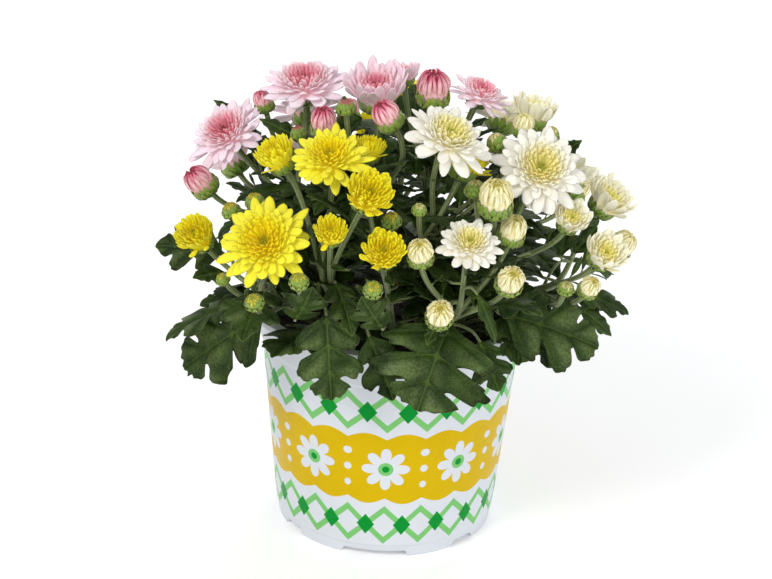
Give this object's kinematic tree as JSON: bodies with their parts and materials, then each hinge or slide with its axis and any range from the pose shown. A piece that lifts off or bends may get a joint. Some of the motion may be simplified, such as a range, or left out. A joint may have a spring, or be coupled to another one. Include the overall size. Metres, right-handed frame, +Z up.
{
  "type": "pot chrysanthemum",
  "caption": "Potted chrysanthemum: a dome of pink, yellow and white flower heads and buds over lobed dark green leaves, in a tapered white plastic pot.",
  "frame": {"origin": "on the pot's axis, at the surface that the pot stands on", "axes": "+Z up, -Y towards the side that the front flowers face, +X to the right seen from there"},
  "size_m": [0.227, 0.2034, 0.2411],
  "materials": {
    "pot_plastic": "smooth moulded",
    "peat": "damp crumb",
    "foliage": "downy leaf",
    "pink_petals": "soft petal",
    "yellow_petals": "soft petal",
    "white_petals": "soft petal"
  },
  "bodies": {
    "root": {"pink_bloom_1": "pink_petals", "pink_bloom_2": "pink_petals", "pink_bloom_3": "pink_petals", "pink_bloom_4": "pink_petals", "pink_bloom_5": "pink_petals", "pink_bud_1": "pink_petals", "pink_bud_2": "pink_petals", "pink_bud_3": "pink_petals", "pink_bud_4": "pink_petals", "pink_bud_5": "pink_petals", "pink_bud_6": "pink_petals", "pink_half_1": "pink_petals", "pink_half_2": "pink_petals", "pink_half_3": "pink_petals", "pot": "pot_plastic", "soil": "peat", "stem_back_left": "foliage", "stem_back_middle": "foliage", "stem_back_right": "foliage", "stem_pink_left": "foliage", "stem_pink_middle": "foliage", "stem_pink_right": "foliage", "stem_white_edge": "foliage", "stem_white_front": "foliage", "stem_white_middle": "foliage", "stem_white_right": "foliage", "stem_yellow_left": "foliage", "stem_yellow_middle": "foliage", "stem_yellow_right": "foliage", "white_bloom_1": "white_petals", "white_bloom_2": "white_petals", "white_bloom_3": "white_petals", "white_bloom_4": "white_petals", "white_bloom_5": "white_petals", "white_bud_1": "white_petals", "white_bud_2": "white_petals", "white_bud_3": "white_petals", "white_bud_4": "white_petals", "white_bud_5": "white_petals", "white_bud_6": "white_petals", "white_bud_7": "white_petals", "white_bud_8": "white_petals", "white_bud_9": "white_petals", "white_half_1": "white_petals", "white_half_2": "white_petals", "white_half_3": "white_petals", "white_half_4": "white_petals", "white_half_5": "white_petals", "yellow_bloom_1": "yellow_petals", "yellow_bloom_2": "yellow_petals", "yellow_bloom_3": "yellow_petals", "yellow_bud_1": "yellow_petals", "yellow_half_1": "yellow_petals", "yellow_half_2": "yellow_petals", "yellow_half_3": "yellow_petals", "yellow_half_4": "yellow_petals", "yellow_half_5": "yellow_petals", "yellow_half_6": "yellow_petals", "yellow_half_7": "yellow_petals", "yellow_half_8": "yellow_petals"}
  },
  "joints": []
}
